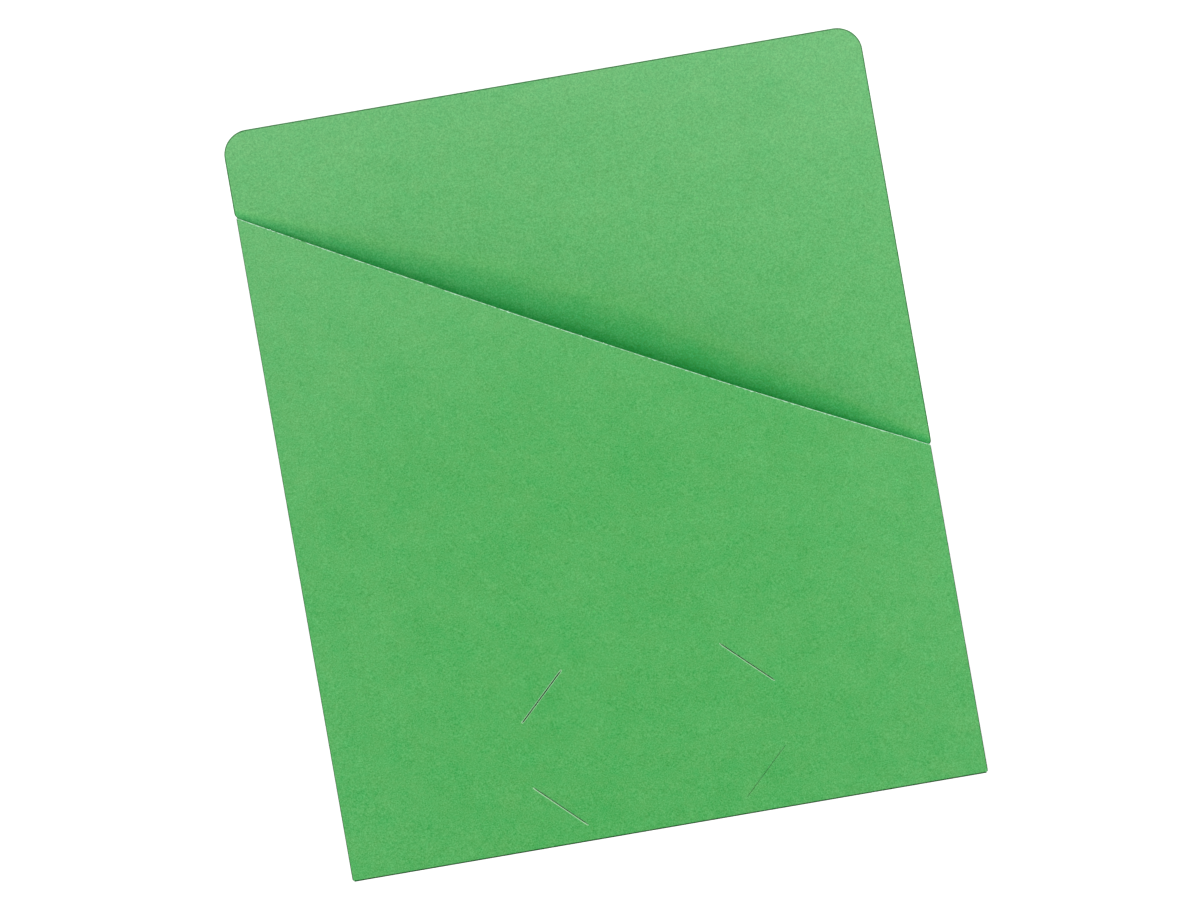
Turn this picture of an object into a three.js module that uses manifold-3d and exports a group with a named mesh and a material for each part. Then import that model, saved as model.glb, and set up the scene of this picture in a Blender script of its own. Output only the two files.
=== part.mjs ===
// A slash jacket folder, cut and creased from one sheet of card. A full back panel carries two glue
// flaps, folded in along its sides. The front panel folds up from the bottom, is glued down over
// the flaps and ends in a slanted cut, the slash, which is the mouth of the pocket.
// Millimetres. The folder lies on its back: X runs across it, Y from bottom to top, Z is up.

import * as THREE from "three";
import { mergeVertices } from "three/addons/utils/BufferGeometryUtils.js";
import Module from "manifold-3d";

const wasm = await Module();
wasm.setup();

// Sheet and outline
const cardThickness = 0.28;
const folderWidth = 241.3;
const folderHeight = 292.1;
const topCornerRadius = 9.5;

// The slash: how far its left end lies below the top edge, and how far it falls to its right end
const slashLeftDrop = 32.7;
const slashFall = 131.1;

// How far the side creases lie inside the free edges of the back panel above them, and the relief
// there: a small gap above each crease, then a rounded corner of the back panel
const sideCreaseInset = 0.4;
const reliefGap = 0.2;
const reliefRoundHeight = 1.7;

// Glue flaps, folded flat on the back panel, and the glue on them
const flapWidth = 17.5;
const flapMitre = 0.7;
const flapBottomGap = 3;
const flapTopGap = 0.5;
const flapFoldGap = 0.1;
const glueLineWidth = 6;
const glueThickness = 0.05;
const glueEndGap = 7;
const layerGap = 0.04;

// Front panel: how far it covers the side creases, and its room at the bottom crease
const frontOverlap = 0.1;
const bottomCreaseRelief = 0.4;
const creaseClearance = 0.1;

// The bow of the front panel: the crest is where the mouth stands furthest open
const crestFromLeft = 164;
const crestLift = 7.9;
const leftBays = 2;
const middleBays = 2;
const rightBays = 3;
const bayColumns = 4;
const seamColumns = 8;
const sheetRows = 8;

// Four slanted slits, cut through the front panel to hold a business card by its corners
const slitLength = 25.4;
const slitWidth = 0.4;
const slitSpacingX = 77.8;
const slitSpacingY = 43.1;
const slitCentreHeight = 36.5;
const slitAngle = Math.PI / 4;
const slitBayMargin = 3.2;

// Heights of the layers at the glued seams, and the two creases' round sections
const flapUnderside = cardThickness + flapFoldGap;
const glueUnderside = flapUnderside + cardThickness + layerGap;
const frontUnderside = glueUnderside + glueThickness + layerGap;
const sideFoldInside = flapFoldGap / 2;
const sideFoldOutside = sideFoldInside + cardThickness;
const bottomFoldInside = (frontUnderside - cardThickness) / 2;
const bottomFoldOutside = bottomFoldInside + cardThickness;

// Places across the width and up the height
const halfWidth = folderWidth / 2;
const bottomY = -folderHeight / 2;
const topY = folderHeight / 2;
const creaseX = halfWidth - sideCreaseInset - sideFoldOutside;
const creaseY = bottomY + bottomFoldOutside;
const frontHalfWidth = creaseX + frontOverlap;
const seamX = creaseX - flapWidth;
const crestX = crestFromLeft - halfWidth;
const crestSlope = crestLift / (slashY(crestX) - creaseY);
const slitBayHalf = (slitLength * Math.cos(slitAngle)) / 2 + slitBayMargin;
const slitBayInnerX = slitSpacingX / 2 - slitBayHalf;
const slitBayOuterX = slitSpacingX / 2 + slitBayHalf;

const cardGreen = 0x5ab364;
const glueColour = 0xd8d2bd;

// The slash as a straight line across the front panel
function slashY(x) {
  const share = (x + frontHalfWidth) / (2 * frontHalfWidth);
  return topY - slashLeftDrop - slashFall * share;
}

// How much the front panel rises per millimetre of height: nothing at the sides, most at the crest
function bowSlope(x) {
  const side = x < crestX ? -creaseX : creaseX;
  const share = THREE.MathUtils.clamp((x - side) / (crestX - side), 0, 1);
  return crestSlope * Math.sin((share * Math.PI) / 2);
}

// A stretch of card that follows the bow, between two edges that are lines across the width
function bowedSheet({ fromX, toX, columns, lowEdge, highEdge, underside, thickness }) {
  const sheet = new THREE.BoxGeometry(1, 1, 1, columns, sheetRows, 1);
  const corners = sheet.getAttribute("position");
  for (let i = 0; i < corners.count; i++) {
    const x = THREE.MathUtils.lerp(fromX, toX, corners.getX(i) + 0.5);
    const y = THREE.MathUtils.lerp(lowEdge(x), highEdge(x), corners.getY(i) + 0.5);
    const lift = Math.max(y - creaseY, 0) * bowSlope(x);
    corners.setXYZ(i, x, y, underside + lift + thickness * (corners.getZ(i) + 0.5));
  }
  return sheet;
}

function solidFrom(geometry) {
  const bare = geometry.clone();
  bare.deleteAttribute("normal");
  bare.deleteAttribute("uv");
  const merged = mergeVertices(bare);
  return new wasm.Manifold(
    new wasm.Mesh({
      numProp: 3,
      vertProperties: merged.getAttribute("position").array,
      triVerts: new Uint32Array(merged.index.array),
    }),
  );
}

function geometryFrom(solid) {
  const mesh = solid.getMesh();
  const geometry = new THREE.BufferGeometry();
  geometry.setAttribute("position", new THREE.BufferAttribute(mesh.vertProperties, 3));
  geometry.setIndex(new THREE.BufferAttribute(mesh.triVerts, 1));
  geometry.computeVertexNormals();
  return geometry;
}

function cardPiece(name, geometry) {
  const card = new THREE.MeshStandardMaterial({ color: cardGreen, roughness: 0.85, metalness: 0 });
  const piece = new THREE.Mesh(geometry, card);
  piece.name = name;
  return piece;
}

// The back panel: full height, with its lower sides cut back to the creases of the glue flaps
function makeBackPanel() {
  const cornerX = halfWidth - topCornerRadius;
  const cornerY = topY - topCornerRadius;
  const reliefWidth = halfWidth - creaseX;
  const rightReliefY = slashY(frontHalfWidth) + reliefGap + reliefRoundHeight;
  const leftReliefY = slashY(-frontHalfWidth) + reliefGap + reliefRoundHeight;
  const quarter = Math.PI / 2;
  const outline = new THREE.Shape();
  outline.moveTo(-creaseX, creaseY);
  outline.lineTo(creaseX, creaseY);
  outline.absellipse(creaseX, rightReliefY, reliefWidth, reliefRoundHeight, -quarter, 0);
  outline.absarc(cornerX, cornerY, topCornerRadius, 0, quarter);
  outline.absarc(-cornerX, cornerY, topCornerRadius, quarter, 2 * quarter);
  outline.absellipse(-creaseX, leftReliefY, reliefWidth, reliefRoundHeight, 2 * quarter, 3 * quarter);
  outline.closePath();
  const plate = new THREE.ExtrudeGeometry(outline, {
    depth: cardThickness,
    bevelEnabled: false,
    curveSegments: 10,
  });
  return cardPiece("back_panel", plate);
}

// A crease: card bent through a half turn, open towards local +X and running along local +Z
function foldRound(inside, outside, length) {
  const section = new THREE.Shape();
  section.absarc(0, 0, outside, Math.PI / 2, Math.PI * 1.5);
  section.absarc(0, 0, inside, Math.PI * 1.5, Math.PI / 2, true);
  section.closePath();
  return new THREE.ExtrudeGeometry(section, {
    depth: length,
    bevelEnabled: false,
    curveSegments: 10,
  });
}

function makeBottomFold() {
  const halfLength = frontHalfWidth - bottomCreaseRelief;
  const round = foldRound(bottomFoldInside, bottomFoldOutside, 2 * halfLength);
  const fold = cardPiece("bottom_fold", round);
  fold.rotation.set(Math.PI / 2, Math.PI / 2, 0);
  fold.position.set(-halfLength, creaseY, bottomFoldOutside);
  return fold;
}

// One glued seam: the crease at the side, the flap folded in from it, the glue on the flap and
// the margin of the front panel that lies on the glue. Side is -1 on the left and 1 on the right.
function makeSeam(side, word) {
  const outerX = side * creaseX;
  const innerX = side * seamX;
  const flapBottomY = creaseY + flapBottomGap;
  const flapTopY = slashY(side * frontHalfWidth) - flapTopGap;
  const inward = (x) => Math.abs(outerX - x);
  const flapLowEdge = (x) => flapBottomY + flapMitre * inward(x);
  const flapHighEdge = (x) => flapTopY - flapMitre * inward(x);

  const round = foldRound(sideFoldInside, sideFoldOutside, flapTopY - flapBottomY);
  const fold = cardPiece(word + "_side_fold", round);
  fold.rotation.set(Math.PI / 2, side < 0 ? 0 : Math.PI, 0);
  fold.position.set(outerX, side < 0 ? flapTopY : flapBottomY, sideFoldOutside);

  const flap = bowedSheet({
    fromX: Math.min(outerX, innerX),
    toX: Math.max(outerX, innerX),
    columns: seamColumns,
    lowEdge: flapLowEdge,
    highEdge: flapHighEdge,
    underside: flapUnderside,
    thickness: cardThickness,
  });

  const glueMiddleX = (outerX + innerX) / 2;
  const glue = bowedSheet({
    fromX: glueMiddleX - glueLineWidth / 2,
    toX: glueMiddleX + glueLineWidth / 2,
    columns: seamColumns,
    lowEdge: (x) => flapLowEdge(x) + glueEndGap,
    highEdge: (x) => flapHighEdge(x) - glueEndGap,
    underside: glueUnderside,
    thickness: glueThickness,
  });
  const driedGlue = new THREE.MeshStandardMaterial({ color: glueColour, roughness: 0.5 });
  const glueLine = new THREE.Mesh(glue, driedGlue);
  glueLine.name = word + "_glue_line";

  const margin = bowedSheet({
    fromX: side < 0 ? -frontHalfWidth : innerX,
    toX: side < 0 ? innerX : frontHalfWidth,
    columns: seamColumns,
    lowEdge: () => creaseY + creaseClearance,
    highEdge: slashY,
    underside: frontUnderside,
    thickness: cardThickness,
  });

  const seam = new THREE.Group();
  seam.add(fold);
  seam.add(cardPiece(word + "_glue_flap", flap));
  seam.add(glueLine);
  seam.add(cardPiece("front_panel_" + word + "_margin", margin));
  return seam;
}

// The four slits slant as the corners of the card do: towards the middle as they leave it
function makeSlitCutters() {
  const cutters = [];
  const clearOfSheet = 2 * (crestLift + frontUnderside + cardThickness);
  for (const acrossSide of [-1, 1]) {
    for (const upSide of [-1, 1]) {
      const blade = new THREE.BoxGeometry(slitLength, slitWidth, clearOfSheet);
      blade.rotateZ(-acrossSide * upSide * slitAngle);
      blade.translate(
        (acrossSide * slitSpacingX) / 2,
        bottomY + slitCentreHeight + (upSide * slitSpacingY) / 2,
        0,
      );
      cutters.push(solidFrom(blade));
    }
  }
  return cutters;
}

// The part of the front panel that bows freely, as upright bays of the one sheet. Every bay turns
// on the bottom crease, and each turns a little more than its neighbour nearer the side. Each pair
// of slits lies inside one bay.
function makeFrontBays() {
  const cutters = makeSlitCutters();
  const bays = new THREE.Group();
  const stretches = [
    { fromX: -seamX, toX: -slitBayOuterX, count: leftBays },
    { fromX: -slitBayOuterX, toX: -slitBayInnerX, count: 1 },
    { fromX: -slitBayInnerX, toX: slitBayInnerX, count: middleBays },
    { fromX: slitBayInnerX, toX: slitBayOuterX, count: 1 },
    { fromX: slitBayOuterX, toX: seamX, count: rightBays },
  ];
  for (const stretch of stretches) {
    const bayWidth = (stretch.toX - stretch.fromX) / stretch.count;
    for (let i = 0; i < stretch.count; i++) {
      const sheet = bowedSheet({
        fromX: stretch.fromX + i * bayWidth,
        toX: stretch.fromX + (i + 1) * bayWidth,
        columns: bayColumns,
        lowEdge: () => creaseY + creaseClearance,
        highEdge: slashY,
        underside: frontUnderside,
        thickness: cardThickness,
      });
      const slitSheet = cutters.reduce((left, cutter) => left.subtract(cutter), solidFrom(sheet));
      const number = String(bays.children.length + 1).padStart(2, "0");
      bays.add(cardPiece("front_panel_bay_" + number, geometryFrom(slitSheet)));
    }
  }
  return bays;
}

const folder = new THREE.Group();
folder.add(makeBackPanel());
folder.add(makeBottomFold());
folder.add(makeSeam(-1, "left"));
folder.add(makeSeam(1, "right"));
folder.add(makeFrontBays());

export default folder;
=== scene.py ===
import math

import bmesh
import bpy
from mathutils import Matrix, Vector


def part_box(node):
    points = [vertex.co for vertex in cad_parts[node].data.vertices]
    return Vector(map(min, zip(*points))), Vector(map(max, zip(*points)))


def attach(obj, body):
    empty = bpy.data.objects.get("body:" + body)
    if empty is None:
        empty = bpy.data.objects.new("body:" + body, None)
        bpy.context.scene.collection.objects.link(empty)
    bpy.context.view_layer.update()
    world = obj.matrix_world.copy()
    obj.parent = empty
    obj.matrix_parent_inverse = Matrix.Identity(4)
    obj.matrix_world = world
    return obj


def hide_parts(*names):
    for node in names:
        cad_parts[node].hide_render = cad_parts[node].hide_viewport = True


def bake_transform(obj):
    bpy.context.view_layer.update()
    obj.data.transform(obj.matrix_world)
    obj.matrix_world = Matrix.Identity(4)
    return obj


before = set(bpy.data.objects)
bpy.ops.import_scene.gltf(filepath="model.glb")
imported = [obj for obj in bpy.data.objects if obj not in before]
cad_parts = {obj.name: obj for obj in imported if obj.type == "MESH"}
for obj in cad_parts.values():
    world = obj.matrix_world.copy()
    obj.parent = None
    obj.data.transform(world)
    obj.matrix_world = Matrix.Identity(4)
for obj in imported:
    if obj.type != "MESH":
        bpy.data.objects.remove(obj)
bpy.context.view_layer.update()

mm = 0.001
up = Vector((0, 0, 1))
touching = 1e-6  # in metres; points closer than this lie on the same line

# The card and how it is cut and bowed; the other sizes are read from the frame
folder = dict(
    card=0.28 * mm,
    layerGap=0.04 * mm,
    cornerRadius=9.5 * mm,
    crestFromLeft=164 * mm,
    crestLift=7.9 * mm,
)

backLow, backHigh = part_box("back_panel")
foldLow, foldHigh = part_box("bottom_fold")
leftMarginLow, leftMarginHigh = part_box("front_panel_left_margin")
rightMarginLow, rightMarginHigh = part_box("front_panel_right_margin")
leftCreaseLow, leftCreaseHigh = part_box("left_side_fold")
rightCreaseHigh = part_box("right_side_fold")[1]

creaseX = -leftCreaseHigh.x
creaseY = foldHigh.y
frontHalf = -leftMarginLow.x
crestX = backLow.x + folder["crestFromLeft"]
slashSlope = (rightMarginHigh.y - leftMarginHigh.y) / (rightMarginLow.x + frontHalf)
slashAngle = math.atan(slashSlope)
slashAlong = Vector((math.cos(slashAngle), math.sin(slashAngle), 0))
slashAway = Vector((-math.sin(slashAngle), math.cos(slashAngle), 0))


def slashY(x):
    return leftMarginHigh.y + slashSlope * (x + frontHalf)


crestSlope = folder["crestLift"] / (slashY(crestX) - creaseY)


def bowLift(x, y):  # nothing along the side creases, most at the crest
    side = -creaseX if x < crestX else creaseX
    share = min(max((x - side) / (crestX - side), 0), 1)
    return max(y - creaseY, 0) * crestSlope * math.sin(share * math.pi / 2)


# Working in edit mode: nothing is selected until a test on places picks it
def deselectAll():
    bpy.ops.object.select_all(action="DESELECT")


def makeActive(piece):
    deselectAll()
    piece.select_set(True)
    bpy.context.view_layer.objects.active = piece


def editMesh(piece, kind="FACE"):
    if piece.mode != "EDIT":
        makeActive(piece)
        bpy.ops.object.mode_set(mode="EDIT")
    bpy.ops.mesh.select_mode(type=kind)
    bpy.ops.mesh.select_all(action="DESELECT")
    return bmesh.from_edit_mesh(piece.data)


def objectMode():
    bpy.ops.object.mode_set(mode="OBJECT")


def selectFaces(piece, test):
    mesh = editMesh(piece, "FACE")
    for face in mesh.faces:
        face.select_set(test(face.calc_center_median()))
    bmesh.update_edit_mesh(piece.data)


def selectAll(piece):
    selectFaces(piece, lambda place: True)


def selectEdges(piece, test):
    mesh = editMesh(piece, "EDGE")
    for edge in mesh.edges:
        if test(edge):
            edge.select_set(True)
    bmesh.update_edit_mesh(piece.data)


def selectVertices(piece, test):
    mesh = editMesh(piece, "VERT")
    for vertex in mesh.verts:
        if test(vertex.co):
            vertex.select_set(True)
    mesh.select_flush_mode()
    bmesh.update_edit_mesh(piece.data)


def cutAlong(point, normal, clearOuter=False, clearInner=False, fill=False):
    bpy.ops.mesh.bisect(
        plane_co=point,
        plane_no=normal,
        clear_outer=clearOuter,
        clear_inner=clearInner,
        use_fill=fill,
        threshold=touching / 10,
    )


def startSheet(name, left, right, bottom, top, height, cell):
    deselectAll()
    bpy.ops.mesh.primitive_grid_add(
        x_subdivisions=max(1, round((right - left) / cell)),
        y_subdivisions=max(1, round((top - bottom) / cell)),
        size=1,
        location=((left + right) / 2, (bottom + top) / 2, height),
    )
    sheet = bpy.context.object
    sheet.name = name
    sheet.data.name = name
    sheet.scale = (right - left, top - bottom, 1)
    bpy.ops.object.transform_apply(location=True, rotation=True, scale=True)
    return sheet


def followBow(piece):
    for vertex in piece.data.vertices:
        vertex.co.z += bowLift(vertex.co.x, vertex.co.y)
    piece.data.update()


def giveThickness(piece, thickness, offset=1):  # the rim takes the material after its face's
    makeActive(piece)
    solid = piece.modifiers.new("thickness", "SOLIDIFY")
    solid.thickness = thickness
    solid.offset = offset
    solid.material_offset_rim = 1
    bpy.ops.object.modifier_apply(modifier=solid.name)


def smooth(piece, degrees=35):
    makeActive(piece)
    bpy.ops.object.shade_smooth_by_angle(angle=math.radians(degrees))


def giveMaterials(piece, *materials):
    piece.data.materials.clear()
    for material in materials:
        piece.data.materials.append(material)


# Building node trees
def addNode(tree, kind, inputs=None, **settings):
    node = tree.nodes.new(kind)
    for name, value in settings.items():
        setattr(node, name, value)
    for name, value in (inputs or {}).items():
        node.inputs[name].default_value = value
    return node


def calc(tree, operation, first, second=None, third=None):
    node = tree.nodes.new("ShaderNodeMath")
    node.operation = operation
    for i, value in enumerate((first, second, third)):
        if value is None:
            continue
        if isinstance(value, (int, float)):
            node.inputs[i].default_value = value
        else:
            tree.links.new(value, node.inputs[i])
    return node.outputs[0]


def noise(tree, place, pattern):  # runs from about -0.5 to 0.5
    shift = pattern["shift"]
    moved = addNode(tree, "ShaderNodeMapping", {"Location": (shift, shift * 0.7, 0)})
    tree.links.new(place, moved.inputs["Vector"])
    values = {"Scale": 1 / pattern["size"], "Detail": pattern["detail"]}
    grain = addNode(tree, "ShaderNodeTexNoise", values)
    tree.links.new(moved.outputs[0], grain.inputs["Vector"])
    return calc(tree, "SUBTRACT", grain.outputs["Fac"], 0.5)


def mixColour(tree, factor, first, second):
    node = addNode(tree, "ShaderNodeMix", data_type="RGBA")
    for socket, value in ((node.inputs[0], factor), (node.inputs[6], first), (node.inputs[7], second)):
        if isinstance(value, tuple):
            socket.default_value = (*value, 1)
        else:
            tree.links.new(value, socket)
    return node.outputs[2]


def scaled(colour, factor):
    return tuple(min(channel * factor, 1) for channel in colour)


def addScaled(tree, start, amount, direction):
    node = addNode(tree, "ShaderNodeVectorMath", operation="MULTIPLY_ADD")
    node.inputs[1].default_value = direction
    tree.links.new(amount, node.inputs[0])
    if isinstance(start, tuple):
        node.inputs[2].default_value = start
    else:
        tree.links.new(start, node.inputs[2])
    return node.outputs[0]


# The pulp's pattern: fine fibres, cloudy mottling of three sizes, a shift of tint, a painted sheen
# that makes it paler towards the top and the sides, and rare dark and light flecks
pulpPattern = dict(
    fibreDetail=2,
    fibreRoughness=0.6,
    clouds=(
        dict(size=2.2 * mm, detail=1, shift=0.3, weight=0.8),
        dict(size=6 * mm, detail=2, shift=0.5, weight=0.7),
        dict(size=17 * mm, detail=2, shift=0.9, weight=0.9),
    ),
    fineTint=dict(size=1.4 * mm, detail=2, shift=1.7),
    broadTint=dict(size=8 * mm, detail=2, shift=2.3),
    wander=dict(size=90 * mm, detail=1, shift=3.1, weight=0.3),
    paintedSheenBothSides=0.28,  # painted sheen, paler towards either side
    paintedSheenToRight=0.13,  # and a little more so to the right
    paintedSheenAtTop=0.25,  # painted sheen, palest close to the top edge
    topPower=8,
    middlePower=1.5,  # Middle falls from 1 at the middle to 0 at the sides
    darkFleck=dict(size=3.4 * mm, shift=0.11, rarity=0.80),
    lightFleck=dict(size=4.6 * mm, shift=0.23, rarity=0.86),
    fleckRadius=0.085,  # as a share of the fleck's cell
)


def addFleck(tree, place, fleck):
    shift = fleck["shift"]
    moved = addNode(tree, "ShaderNodeMapping", {"Location": (shift, shift, shift)})
    tree.links.new(place, moved.inputs["Vector"])
    cells = addNode(tree, "ShaderNodeTexVoronoi", {"Scale": 1 / fleck["size"]})
    tree.links.new(moved.outputs[0], cells.inputs["Vector"])
    near = calc(tree, "LESS_THAN", cells.outputs["Distance"], pulpPattern["fleckRadius"])
    chosen = tree.nodes.new("ShaderNodeSeparateColor")
    tree.links.new(cells.outputs["Color"], chosen.inputs[0])
    rare = calc(tree, "GREATER_THAN", chosen.outputs[0], fleck["rarity"])
    return calc(tree, "MULTIPLY", near, rare)


def makeFibreGroup():
    group = bpy.data.node_groups.new("cardFibre", "ShaderNodeTree")
    group.interface.new_socket("Fibre Size", in_out="INPUT", socket_type="NodeSocketFloat")
    for name in ("Fibre", "Cloud", "Tint", "Fade", "Middle", "Dark Fleck", "Light Fleck"):
        group.interface.new_socket(name, in_out="OUTPUT", socket_type="NodeSocketFloat")
    given = group.nodes.new("NodeGroupInput")
    result = group.nodes.new("NodeGroupOutput")
    place = group.nodes.new("ShaderNodeTexCoord").outputs["Object"]

    values = {"Detail": pulpPattern["fibreDetail"], "Roughness": pulpPattern["fibreRoughness"]}
    fibre = addNode(group, "ShaderNodeTexNoise", values)
    group.links.new(place, fibre.inputs["Vector"])
    group.links.new(calc(group, "DIVIDE", 1, given.outputs["Fibre Size"]), fibre.inputs["Scale"])
    cloud = 0
    for layer in pulpPattern["clouds"]:
        cloud = calc(group, "MULTIPLY_ADD", noise(group, place, layer), layer["weight"], cloud)
    fineTint = noise(group, place, pulpPattern["fineTint"])
    broadTint = noise(group, place, pulpPattern["broadTint"])

    parts = group.nodes.new("ShaderNodeSeparateXYZ")
    group.links.new(place, parts.inputs[0])
    # Fade is a painted sheen: paler towards the top and the sides, with a slow random wander
    height = calc(group, "MAXIMUM", calc(group, "DIVIDE", parts.outputs["Y"], backHigh.y), 0)
    across = calc(group, "DIVIDE", parts.outputs["X"], backHigh.x)
    slope = calc(
        group,
        "MULTIPLY_ADD",
        across,
        pulpPattern["paintedSheenBothSides"],
        pulpPattern["paintedSheenToRight"],
    )
    paintedSideSheen = calc(group, "MULTIPLY", across, slope)
    wander = noise(group, place, pulpPattern["wander"])
    fade = calc(group, "ADD", height, paintedSideSheen)
    fade = calc(group, "MULTIPLY_ADD", wander, pulpPattern["wander"]["weight"], fade)
    paintedTopSheen = calc(group, "POWER", height, pulpPattern["topPower"])
    fade = calc(group, "MULTIPLY_ADD", paintedTopSheen, pulpPattern["paintedSheenAtTop"], fade)
    middle = calc(group, "SUBTRACT", 1, calc(group, "MULTIPLY", across, across))
    middle = calc(group, "POWER", calc(group, "MAXIMUM", middle, 0), pulpPattern["middlePower"])

    for name, value in (
        ("Fibre", calc(group, "SUBTRACT", fibre.outputs["Fac"], 0.5)),
        ("Cloud", cloud),
        ("Tint", calc(group, "ADD", fineTint, broadTint)),
        ("Fade", fade),
        ("Middle", middle),
        ("Dark Fleck", addFleck(group, place, pulpPattern["darkFleck"])),
        ("Light Fleck", addFleck(group, place, pulpPattern["lightFleck"])),
    ):
        group.links.new(value, result.inputs[name])
    return group


# How near a straight line a point lies: 1 on the line, 0 past the width. Away points across the
# line, and Offset is how far along Away the line lies.
def makeEdgeGroup():
    group = bpy.data.node_groups.new("cutEdgeBand", "ShaderNodeTree")
    group.interface.new_socket("Away", in_out="INPUT", socket_type="NodeSocketVector")
    for name in ("Offset", "Width", "Fray", "Raggedness", "Gain"):
        group.interface.new_socket(name, in_out="INPUT", socket_type="NodeSocketFloat")
    group.interface.new_socket("Band", in_out="OUTPUT", socket_type="NodeSocketFloat")
    given = group.nodes.new("NodeGroupInput")
    result = group.nodes.new("NodeGroupOutput")
    place = group.nodes.new("ShaderNodeTexCoord").outputs["Object"]
    dot = addNode(group, "ShaderNodeVectorMath", operation="DOT_PRODUCT")
    group.links.new(place, dot.inputs[0])
    group.links.new(given.outputs["Away"], dot.inputs[1])
    distance = calc(group, "SUBTRACT", given.outputs["Offset"], dot.outputs["Value"])
    rough = addNode(group, "ShaderNodeTexNoise", {"Detail": 2})
    group.links.new(place, rough.inputs["Vector"])
    group.links.new(calc(group, "DIVIDE", 1, given.outputs["Fray"]), rough.inputs["Scale"])
    uneven = calc(group, "SUBTRACT", rough.outputs["Fac"], 0.5)
    uneven = calc(group, "MULTIPLY_ADD", uneven, given.outputs["Raggedness"], 1)
    width = calc(group, "MULTIPLY", given.outputs["Width"], uneven)
    share = calc(group, "DIVIDE", distance, calc(group, "MAXIMUM", width, touching))
    band = calc(group, "MULTIPLY", calc(group, "SUBTRACT", 1, share), given.outputs["Gain"])
    band = calc(group, "MINIMUM", calc(group, "MAXIMUM", band, 0), 1)
    group.links.new(band, result.inputs["Band"])
    return group


fibreGroup = makeFibreGroup()
edgeGroup = makeEdgeGroup()


def addBand(tree, line):
    band = addNode(tree, "ShaderNodeGroup", node_tree=edgeGroup)
    for name in ("away", "offset", "width", "fray", "raggedness", "gain"):
        band.inputs[name.title()].default_value = line[name]
    return band


def makeCard(name, look, edgeLine=None, shadeLines=()):
    material = bpy.data.materials.new(name)
    material.use_nodes = True
    tree = material.node_tree
    shader = tree.nodes["Principled BSDF"]
    pulp = addNode(tree, "ShaderNodeGroup", node_tree=fibreGroup)
    pulp.inputs["Fibre Size"].default_value = look["fibreSize"]
    colour = look["colour"]
    for part in ("fade", "fibre", "cloud", "tint"):
        colour = addScaled(tree, colour, pulp.outputs[part.title()], look[part])
    for part in ("dark", "light"):
        fleck = look[part + "Fleck"]
        amount = calc(tree, "MULTIPLY", pulp.outputs[part.title() + " Fleck"], fleck["amount"])
        colour = mixColour(tree, amount, colour, scaled(look["colour"], fleck["shade"]))
    # Painted shade and painted light, in bands along the slash
    for line in shadeLines:
        shade = addBand(tree, line)
        widening = line["width"] - line["endWidth"]
        width = calc(tree, "MULTIPLY_ADD", pulp.outputs["Middle"], widening, line["endWidth"])
        tree.links.new(width, shade.inputs["Width"])
        colour = addScaled(tree, colour, shade.outputs["Band"], line["change"])
    # The slash's pale edge: paler fibres and a painted highlight
    if edgeLine:
        band = addBand(tree, edgeLine)
        colour = mixColour(tree, band.outputs["Band"], colour, edgeLine["colour"])
    tree.links.new(colour, shader.inputs["Base Color"])
    spread = look["roughnessSpread"]
    rough = calc(tree, "MULTIPLY_ADD", pulp.outputs["Fibre"], spread, look["roughness"])
    tree.links.new(rough, shader.inputs["Roughness"])
    shader.inputs["Specular IOR Level"].default_value = look["gloss"]
    bump = addNode(tree, "ShaderNodeBump", {"Strength": 1, "Distance": look["grainDepth"]})
    tree.links.new(pulp.outputs["Fibre"], bump.inputs["Height"])
    tree.links.new(bump.outputs[0], shader.inputs["Normal"])
    return material


# Fade (a painted sheen, paler towards the top and the sides), fibre, cloud and tint are what each part
# of the pattern adds to the colour
cardLook = dict(
    colour=(0.048, 0.388, 0.071),
    fade=(0.049, 0.056, 0.050),
    fibreSize=0.48 * mm,
    fibre=(0.235, 0.46, 0.24),
    cloud=(0.046, 0.036, 0.027),
    tint=(-0.019, 0.027, 0.012),
    darkFleck=dict(amount=0.35, shade=0.45),
    lightFleck=dict(amount=0.3, shade=1.7),
    roughness=0.5,
    roughnessSpread=0.12,
    gloss=0.72,
    grainDepth=0.02 * mm,
)
# The cut along the slash is paler and slightly ragged: paler broken fibres, partly a painted highlight
# where the rounded cut catches the light
slashHighlightLine = dict(
    away=slashAway,
    offset=slashAway.dot(Vector((0, slashY(0), 0))),
    width=0.28 * mm,
    fray=1.3 * mm,
    raggedness=4.5,
    gain=2.2,
    colour=(0.46, 0.78, 0.54),
)
# Painted shadow of the raised lip: a deeper green painted on the card inside the pocket and close to
# its lip, where the lip shades it
paintedLipShadow = dict(
    away=-slashAway,
    offset=-slashHighlightLine["offset"],
    width=14.2 * mm,
    endWidth=3 * mm,
    fray=60 * mm,
    raggedness=1,
    gain=1.5,
    change=(-0.062, -0.066, -0.020),
)
# Painted light: farther from the lip, a wider band adds the green back before the painted shadow ends
paintedLightPastShadow = dict(
    paintedLipShadow,
    width=21 * mm,
    endWidth=4 * mm,
    change=(0, 0.060, -0.008),
)
# Pale strips beside the slits: paler frayed fibres, partly a painted highlight where a cut lip catches
# the light
frayedHighlightLook = dict(
    cardLook,
    colour=(0.33, 0.66, 0.34),
    fibreSize=0.25 * mm,
    fibre=(0.5, 0.6, 0.5),
)
# Cut edges and the ring along the outline are painted darker: painted shade along the outline and on
# the cut walls
paintedShadeEdgeLook = dict(
    cardLook,
    colour=scaled(cardLook["colour"], 0.32),
    fade=scaled(cardLook["fade"], 0.32),
    fibre=scaled(cardLook["fibre"], 0.5),
    gloss=0,
)
# The creases are painted nearly black: painted shade where the fold turns away from the light
paintedCreaseShadeLook = dict(paintedShadeEdgeLook, colour=scaled(cardLook["colour"], 0.17))
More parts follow.
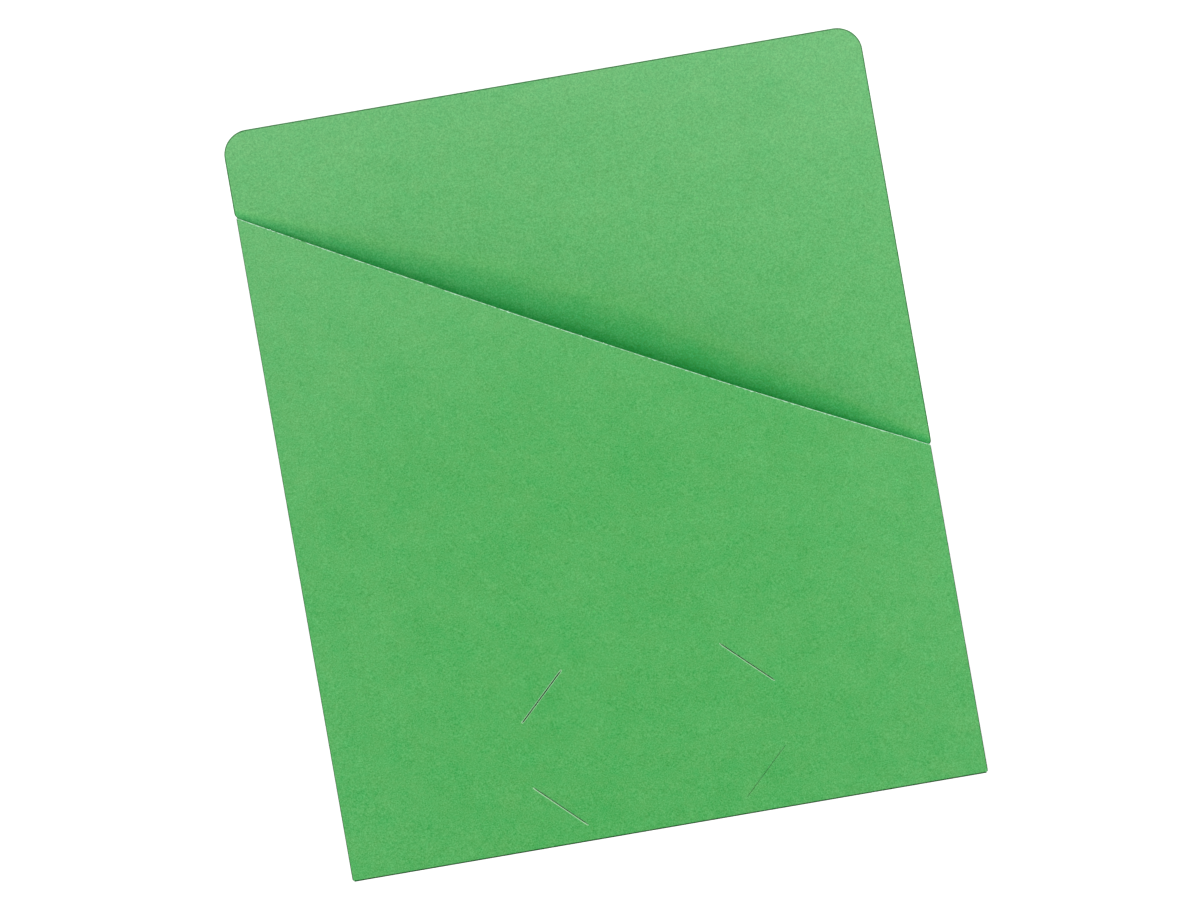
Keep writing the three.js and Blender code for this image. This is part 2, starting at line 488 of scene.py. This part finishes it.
# The slits' walls are painted dark brown: painted shade for the shaded gap
paintedSlitShadeLook = dict(paintedShadeEdgeLook, colour=(0.060, 0.050, 0.040))
glueLook = dict(
    cardLook,
    colour=(0.62, 0.57, 0.42),
    fibreSize=1.1 * mm,
    fibre=(0.3, 0.3, 0.2),
    tint=(0.02, 0.02, -0.04),
)

cardGreen = makeCard("cardGreen", cardLook)
# The back card's green carries the painted shadow of the lip and the painted light past it
paintedShadowGreen = makeCard("paintedShadowGreen", cardLook, shadeLines=(paintedLipShadow, paintedLightPastShadow))
frontGreen = makeCard("frontGreen", cardLook, edgeLine=slashHighlightLine)
cutEdgePaintedShade = makeCard("cutEdgePaintedShade", paintedShadeEdgeLook)
slitWallPaintedShade = makeCard("slitWallPaintedShade", paintedSlitShadeLook)
creasePaintedShade = makeCard("creasePaintedShade", paintedCreaseShadeLook)
frayedEdgeHighlight = makeCard("frayedEdgeHighlight", frayedHighlightLook)
driedGlue = makeCard("driedGlue", glueLook)
print("materials made")


# The back panel has two rounded corners, and its sides step in below the ends of the slash
backPanel = dict(
    cornerCuts=12,
    reliefGap=0.2 * mm,
    reliefHeight=1.7 * mm,
    reliefCuts=8,
    edgeWidth=0.34 * mm,  # of the ring that shows the cut edge, painted darker as shade along the outline
    sideReach=1.44 * mm,  # the ring's faces at the sides have their middles within this
    ringCorners=8,  # a face of the ring has fewer corners than this
    topReach=1 * mm,
    cell=1,  # in metres, so the panel starts as one face
)


def stepSideIn(card, side):
    height = backPanel["reliefHeight"]
    startY = slashY(side * frontHalf) + backPanel["reliefGap"]
    endY = startY + height
    for i in range(backPanel["reliefCuts"] + 1):
        share = i / backPanel["reliefCuts"]
        selectAll(card)
        cutAlong((0, startY + share**2 * height, 0), (0, 1, 0))
    mesh = editMesh(card, "VERT")
    for vertex in mesh.verts:
        fromEdge = backHigh.x - vertex.co.x * side
        if fromEdge < 2 * backPanel["edgeWidth"] and vertex.co.y < endY:
            drop = min((endY - vertex.co.y) / height, 1)
            vertex.co.x -= side * (backHigh.x - creaseX) * (1 - math.sqrt(1 - drop**2))
    bmesh.update_edit_mesh(card.data)


def inEdgeRing(face):
    x = abs(face.center.x)
    y = face.center.y
    radius = folder["cornerRadius"]
    arcX = backHigh.x - radius
    arcY = backHigh.y - radius
    atSide = x > backHigh.x - backPanel["sideReach"]
    atTop = y > backHigh.y - backPanel["edgeWidth"]
    beyond = math.hypot(x - arcX, y - arcY) > radius - backPanel["edgeWidth"]
    atCorner = x > arcX and y > arcY and beyond
    return len(face.vertices) < backPanel["ringCorners"] and (atSide or atTop or atCorner)


def makeBackCard():
    half = backHigh.x
    card = startSheet("backCard", -half, half, creaseY, backHigh.y, 0, backPanel["cell"])
    selectVertices(card, lambda place: place.y > backHigh.y - backPanel["topReach"])
    bpy.ops.mesh.bevel(
        offset=folder["cornerRadius"],
        segments=backPanel["cornerCuts"],
        affect="VERTICES",
    )
    selectAll(card)
    bpy.ops.mesh.inset(thickness=backPanel["edgeWidth"])
    for side in (-1, 1):
        stepSideIn(card, side)
    objectMode()
    # The top of the back card takes the green with the painted shadow of the lip
    materials = (paintedShadowGreen, cutEdgePaintedShade, cardGreen)
    giveMaterials(card, *materials)
    for face in card.data.polygons:
        if inEdgeRing(face):
            face.material_index = materials.index(cutEdgePaintedShade)
    giveThickness(card, folder["card"])
    for face in card.data.polygons:
        if face.normal.z < -0.5:
            face.material_index = materials.index(cardGreen)
    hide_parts("back_panel")
    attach(card, "back")
    return card


makeBackCard()
print("back panel made")


# A crease is a line spun through half a turn about the middle of the fold
crease = dict(
    steps=14,
    cell=12 * mm,
    smoothAngle=40,
    cornerGap=0.2 * mm,  # between a side crease and the bottom one
    bottomOutside=(foldHigh.z - foldLow.z) / 2,
    sideOutside=(leftCreaseHigh.z - leftCreaseLow.z) / 2,
)


def makeCrease(name, node, start, end, outside):
    low = Vector((*start, outside))
    high = Vector((*end, outside))
    radius = outside - folder["card"] / 2
    deselectAll()
    bpy.ops.mesh.primitive_plane_add(size=1, location=(0, 0, 0))
    card = bpy.context.object
    card.name = name
    card.data.name = name
    selectVertices(card, lambda place: place.x > 0)
    bpy.ops.mesh.delete(type="VERT")
    mesh = editMesh(card, "VERT")
    ends = sorted(mesh.verts, key=lambda vertex: vertex.co.y)
    ends[0].co = low - up * radius
    ends[1].co = high - up * radius
    bmesh.update_edit_mesh(card.data)
    bpy.ops.mesh.select_all(action="SELECT")
    bpy.ops.mesh.subdivide(number_cuts=max(1, round((high - low).length / crease["cell"])))
    bpy.ops.mesh.select_all(action="SELECT")
    bpy.ops.mesh.spin(
        steps=crease["steps"],
        angle=math.pi,
        center=low,
        axis=(high - low).normalized(),
    )
    bpy.ops.mesh.select_all(action="SELECT")
    bpy.ops.mesh.normals_make_consistent(inside=False)
    objectMode()
    # The crease takes the painted shade
    giveMaterials(card, creasePaintedShade, cutEdgePaintedShade)
    giveThickness(card, folder["card"], 0)
    smooth(card, crease["smoothAngle"])
    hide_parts(node)
    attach(card, "back")
    return card


makeCrease(
    "bottomCrease",
    "bottom_fold",
    (foldLow.x, creaseY),
    (foldHigh.x, creaseY),
    crease["bottomOutside"],
)
# The left line runs down and the right one up, so both bulge away from the folder
sideStart = creaseY + crease["cornerGap"]
makeCrease(
    "leftCrease",
    "left_side_fold",
    (-creaseX, leftCreaseHigh.y),
    (-creaseX, sideStart),
    crease["sideOutside"],
)
makeCrease(
    "rightCrease",
    "right_side_fold",
    (creaseX, sideStart),
    (creaseX, rightCreaseHigh.y),
    crease["sideOutside"],
)
print("creases made")


# The glue flaps and the glue lines on them follow the bow of the panel that they hold
seam = dict(cell=4 * mm, mitre=0.7)  # the mitre is how far a flap's end runs up for each mm across
flap = dict(
    thickness=folder["card"],
    endGap=0,
    slot="green_card",
    materials=(paintedShadowGreen, cutEdgePaintedShade),
)
glueLine = dict(
    thickness=0.05 * mm,
    endGap=7 * mm,
    slot="dried_glue",
    materials=(driedGlue, driedGlue),
)


def makeSeamSheet(name, node, side, flapNode, underside, layer):
    low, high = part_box(node)
    flapLow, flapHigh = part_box(flapNode)
    sheet = startSheet(name, low.x, high.x, flapLow.y, flapHigh.y, underside, seam["cell"])
    outerX = side * creaseX
    slant = side * seam["mitre"]
    selectAll(sheet)
    cutAlong((outerX, flapLow.y + layer["endGap"], 0), (slant, 1, 0), clearInner=True)
    selectAll(sheet)
    cutAlong((outerX, flapHigh.y - layer["endGap"], 0), (-slant, 1, 0), clearOuter=True)
    objectMode()
    followBow(sheet)
    giveMaterials(sheet, *layer["materials"])
    giveThickness(sheet, layer["thickness"])
    smooth(sheet)
    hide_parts(node)
    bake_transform(sheet)
    return sheet


for side, word in ((-1, "left"), (1, "right")):
    flapNode = word + "_glue_flap"
    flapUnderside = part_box(flapNode)[0].z
    glueUnderside = flapUnderside + folder["card"] + folder["layerGap"]
    makeSeamSheet(word + "Flap", flapNode, side, flapNode, flapUnderside, flap)
    makeSeamSheet(word + "GlueLine", word + "_glue_line", side, flapNode, glueUnderside, glueLine)
print("seams made")


# The front panel is one sheet with the slash, four slits and small nicks in the cut
frontPanel = dict(
    cell=4 * mm,
    lowGap=0.03 * mm,
    slitLength=25.4 * mm,
    slitSpacingX=77.8 * mm,
    slitSpacingY=43.1 * mm,
    slitHeight=36.5 * mm,
    slitReach=7 * mm,  # how far from a slit its lip starts to rise
    slitEnd=0.8 * mm,  # the gap closes over this at either end
    slitRim=0.5 * mm,  # what lies nearer than this moves with the lip as the gap opens
    slitZone=14 * mm,  # a slit's upright faces lie within this of its centre
    finerWithin=(9 * mm, 5 * mm),  # each step halves the cells near a slit
    cutWithin=4.5 * mm,
    endCutWithin=3.5 * mm,
    nicks=(0.048, 0.390, 0.496, 0.528, 0.959, 0.979),  # as shares of the panel's width
    nickWidth=0.5 * mm,
    nickSize=0.35 * mm,
    nickWithin=5 * mm,
)
frontMaterials = (frontGreen, cutEdgePaintedShade, frayedEdgeHighlight, slitWallPaintedShade)

# For each slit: its corner, which lip stands up (1 is the upper one) and how far, how wide the slit
# gapes and how wide the pale strips above and below it are (paler frayed fibres and a painted
# highlight), all in mm, and what its walls show: a painted shade, dark brown or dark green, for the
# shaded gap
slits = [
    dict(across=-1, upward=1, lip=1, lift=0.16, gap=0.46, upper=0.20, lower=0.20, wall=cutEdgePaintedShade),
    dict(across=1, upward=1, lip=1, lift=0.20, gap=0.36, upper=0.03, lower=0.30, wall=slitWallPaintedShade),
    dict(across=1, upward=-1, lip=-1, lift=0.10, gap=0.15, upper=0.01, lower=0.01, wall=cutEdgePaintedShade),
    dict(across=-1, upward=-1, lip=1, lift=0.20, gap=0.34, upper=0.03, lower=0.36, wall=slitWallPaintedShade),
]


def slitPlace(slit):
    x = slit["across"] * frontPanel["slitSpacingX"] / 2
    y = backLow.y + frontPanel["slitHeight"] + slit["upward"] * frontPanel["slitSpacingY"] / 2
    slant = -slit["across"] * slit["upward"] * math.pi / 4
    along = Vector((math.cos(slant), math.sin(slant), 0))
    return Vector((x, y, 0)), along, Vector((-along.y, along.x, 0))


def flattened(point):
    return Vector((point.x, point.y, 0))


def cutSlit(sheet, slit):
    half = frontPanel["slitLength"] / 2
    centre, along, aside = slitPlace(slit)

    def measured(point):  # how far along the slit, and how far to its side
        away = flattened(point) - centre
        return away.dot(along), away.dot(aside)

    def near(margin):
        def test(place):
            run, off = measured(place)
            return abs(run) < half + margin and abs(off) < margin

        return test

    def onSlit(edge):
        for vertex in edge.verts:
            run, off = measured(vertex.co)
            if abs(off) > touching or abs(run) > half + touching:
                return False
        return True

    for margin in frontPanel["finerWithin"]:
        selectFaces(sheet, near(margin))
        bpy.ops.mesh.subdivide(number_cuts=1)
    for offset in (0, slit["upper"] * mm, -slit["lower"] * mm):
        selectFaces(sheet, near(frontPanel["cutWithin"]))
        cutAlong(centre + offset * aside, aside)
    for end in (-1, 1):
        selectFaces(sheet, near(frontPanel["endCutWithin"]))
        cutAlong(centre + end * half * along, along)
    selectEdges(sheet, onSlit)
    bpy.ops.mesh.edge_split(type="EDGE")
    openSlit(sheet, slit, measured)


def openSlit(sheet, slit, measured):
    half = frontPanel["slitLength"] / 2
    reach = frontPanel["slitReach"]
    aside = slitPlace(slit)[2]
    mesh = editMesh(sheet, "VERT")
    moves = []
    for vertex in mesh.verts:
        run, off = measured(vertex.co)
        if abs(run) >= half - touching or abs(off) > reach:
            continue
        onEdge = abs(off) < touching
        if onEdge:  # the two lips still lie on one line, so their faces tell them apart
            off = sum(measured(face.calc_center_median())[1] for face in vertex.link_faces)
        moves.append((vertex, 1 if off > 0 else -1, run, 0 if onEdge else abs(off)))
    for vertex, lip, run, off in moves:
        if lip == slit["lip"]:
            fade = max(1 - off / reach, 0) ** 2
            vertex.co.z += slit["lift"] * mm * math.cos(math.pi / 2 * run / half) * fade
        if off < frontPanel["slitRim"]:
            opening = min((half - abs(run)) / frontPanel["slitEnd"], 1)
            vertex.co += aside * lip * slit["gap"] * mm / 2 * opening
    low = -(slit["lower"] + slit["gap"] / 2) * mm
    high = (slit["upper"] + slit["gap"] / 2) * mm
    # The pale strips hold frayed fibres and a painted highlight
    for face in mesh.faces:
        run, off = measured(face.calc_center_median())
        if abs(run) < half and low < off < high:
            face.material_index = frontMaterials.index(frayedEdgeHighlight)
    bmesh.update_edit_mesh(sheet.data)


def addNick(sheet, share):
    x = -frontHalf + share * 2 * frontHalf
    place = Vector((x, slashY(x), 0))
    for step in (-1, 0, 1):
        selectFaces(sheet, lambda point: (flattened(point) - place).length < frontPanel["nickWithin"])
        cutAlong(place + slashAlong * step * frontPanel["nickWidth"] / 2, slashAlong)
    mesh = editMesh(sheet, "VERT")
    tip = min(mesh.verts, key=lambda vertex: (flattened(vertex.co) - place).length)
    tip.co += slashAway * frontPanel["nickSize"]
    bmesh.update_edit_mesh(sheet.data)


# Upright faces take painted shade: darker cut walls, and dark slit walls near the slits
def uprightMaterial(face):
    for slit in slits:
        if (face.center - slitPlace(slit)[0]).length < frontPanel["slitZone"]:
            return slit["wall"]
    return cutEdgePaintedShade


def makeFrontSheet():
    sheet = startSheet(
        "frontSheet",
        -frontHalf,
        frontHalf,
        creaseY + frontPanel["lowGap"],
        leftMarginHigh.y,
        leftMarginLow.z,
        frontPanel["cell"],
    )
    giveMaterials(sheet, *frontMaterials)
    selectAll(sheet)
    cutAlong((0, slashY(0), 0), slashAway, clearOuter=True)
    for slit in slits:
        cutSlit(sheet, slit)
    for share in frontPanel["nicks"]:
        addNick(sheet, share)
    objectMode()
    followBow(sheet)
    giveThickness(sheet, folder["card"])
    for face in sheet.data.polygons:
        if abs(face.normal.z) <= 0.5:
            face.material_index = frontMaterials.index(uprightMaterial(face))
    return sheet


def cutHalf(sheet, name, side, nodes):  # each half bows between its own side and the crest
    makeActive(sheet)
    bpy.ops.object.duplicate()
    half = bpy.context.object
    half.name = name
    half.data.name = name
    selectAll(half)
    cutAlong(
        (crestX, 0, 0),
        (1, 0, 0),
        clearOuter=side < 0,
        clearInner=side > 0,
        fill=True,
    )
    objectMode()
    smooth(half)
    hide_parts(*nodes)
    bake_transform(half)
    return half


frontSheet = makeFrontSheet()
leftNodes = ["front_panel_left_margin"] + [f"front_panel_bay_0{i}" for i in range(1, 7)]
rightNodes = [f"front_panel_bay_0{i}" for i in range(7, 10)] + ["front_panel_right_margin"]
cutHalf(frontSheet, "frontCardLeft", -1, leftNodes)
cutHalf(frontSheet, "frontCardRight", 1, rightNodes)
bpy.data.objects.remove(frontSheet)
print("front panel made")


# Floor, light and camera; the sizes are in metres and the powers in watts
studio = dict(
    dome=0.385,
    floorSize=1.6,
    floorDrop=0.02 * mm,
    floorGrey=0.9,
    floorRoughness=0.9,
    floorGlow=0.4,
)
lamps = [
    dict(name="lampAbove", place=(0, 0, 0.75), width=1.3, depth=0.32, power=1.65),
    dict(name="lampLeft", place=(-1.0, -0.85, 0.65), width=0.8, depth=0.6, power=9.6),
    dict(name="lampRight", place=(1.15, -0.15, 0.50), width=0.7, depth=0.7, power=5.95),
    dict(name="lampTop", place=(0.1, 0.85, 0.85), width=0.9, depth=0.6, power=3.5),
]
# The camera stands a little towards the top of the folder and is turned about its view line
shot = dict(
    tilt=14.2,
    aside=2.9,
    turn=9.79,
    width=447.6 * mm,
    right=1.81 * mm,
    down=1.12 * mm,
    distance=1.3,
    farthest=10,
)


def seenBy(tree, *rayKinds):  # 1 for rays of these kinds, else 0
    rays = tree.nodes.new("ShaderNodeLightPath")
    total = rays.outputs[rayKinds[0]]
    for kind in rayKinds[1:]:
        total = calc(tree, "ADD", total, rays.outputs[kind])
    return calc(tree, "MINIMUM", total, 1)


def makeFloor():
    deselectAll()
    bpy.ops.mesh.primitive_plane_add(size=studio["floorSize"], location=(0, 0, -studio["floorDrop"]))
    floor = bpy.context.object
    floor.name = "floor"
    look = bpy.data.materials.new("floorWhite")
    look.use_nodes = True
    tree = look.node_tree
    shader = tree.nodes["Principled BSDF"]
    grey = studio["floorGrey"]
    shader.inputs["Base Color"].default_value = (grey, grey, grey, 1)
    shader.inputs["Roughness"].default_value = studio["floorRoughness"]
    shader.inputs["Emission Color"].default_value = (1, 1, 1, 1)
    seen = seenBy(tree, "Is Camera Ray", "Is Glossy Ray", "Is Transmission Ray")
    glow = calc(tree, "MULTIPLY", seen, studio["floorGlow"])
    tree.links.new(glow, shader.inputs["Emission Strength"])
    giveMaterials(floor, look)


def makeDome():  # white where it is seen, and dimmer as a light
    world = bpy.data.worlds.new("studio")
    bpy.context.scene.world = world
    world.use_nodes = True
    tree = world.node_tree
    tree.nodes.clear()
    output = tree.nodes.new("ShaderNodeOutputWorld")
    background = addNode(tree, "ShaderNodeBackground", {"Color": (1, 1, 1, 1)})
    seen = seenBy(tree, "Is Camera Ray", "Is Transmission Ray")
    strength = calc(tree, "MULTIPLY_ADD", seen, 1 - studio["dome"], studio["dome"])
    tree.links.new(strength, background.inputs["Strength"])
    tree.links.new(background.outputs[0], output.inputs["Surface"])


def addLamp(lamp):  # every lamp points at the middle of the folder
    light = bpy.data.lights.new(lamp["name"], "AREA")
    light.energy = lamp["power"]
    light.shape = "RECTANGLE"
    light.size = lamp["width"]
    light.size_y = lamp["depth"]
    fixture = bpy.data.objects.new(lamp["name"], light)
    bpy.context.scene.collection.objects.link(fixture)
    fixture.location = lamp["place"]
    fixture.rotation_euler = Vector(lamp["place"]).to_track_quat("Z", "X").to_euler()


def addCamera():
    tilt = math.radians(shot["tilt"])
    aside = math.radians(shot["aside"])
    turn = math.radians(shot["turn"]) - math.atan(math.cos(tilt) * math.tan(aside))
    toCamera = Vector((math.sin(aside), math.cos(aside), 0))
    acrossView = Vector((math.cos(aside), -math.sin(aside), 0))
    upView = toCamera * math.cos(tilt) - up * math.sin(tilt)
    cameraX = math.cos(turn) * acrossView - math.sin(turn) * upView
    cameraY = math.sin(turn) * acrossView + math.cos(turn) * upView
    cameraZ = toCamera * math.sin(tilt) + up * math.cos(tilt)
    lens = bpy.data.cameras.new("camera")
    lens.type = "ORTHO"
    lens.ortho_scale = shot["width"]
    lens.clip_end = shot["farthest"]
    camera = bpy.data.objects.new("camera", lens)
    bpy.context.scene.collection.objects.link(camera)
    place = cameraZ * shot["distance"] - cameraX * shot["right"] + cameraY * shot["down"]
    turned = Matrix((cameraX, cameraY, cameraZ)).transposed().to_4x4()
    camera.matrix_world = Matrix.Translation(place) @ turned
    bpy.context.scene.camera = camera


makeFloor()
makeDome()
for lamp in lamps:
    addLamp(lamp)
addCamera()
bpy.context.scene.view_settings.view_transform = "Standard"
print("studio made")
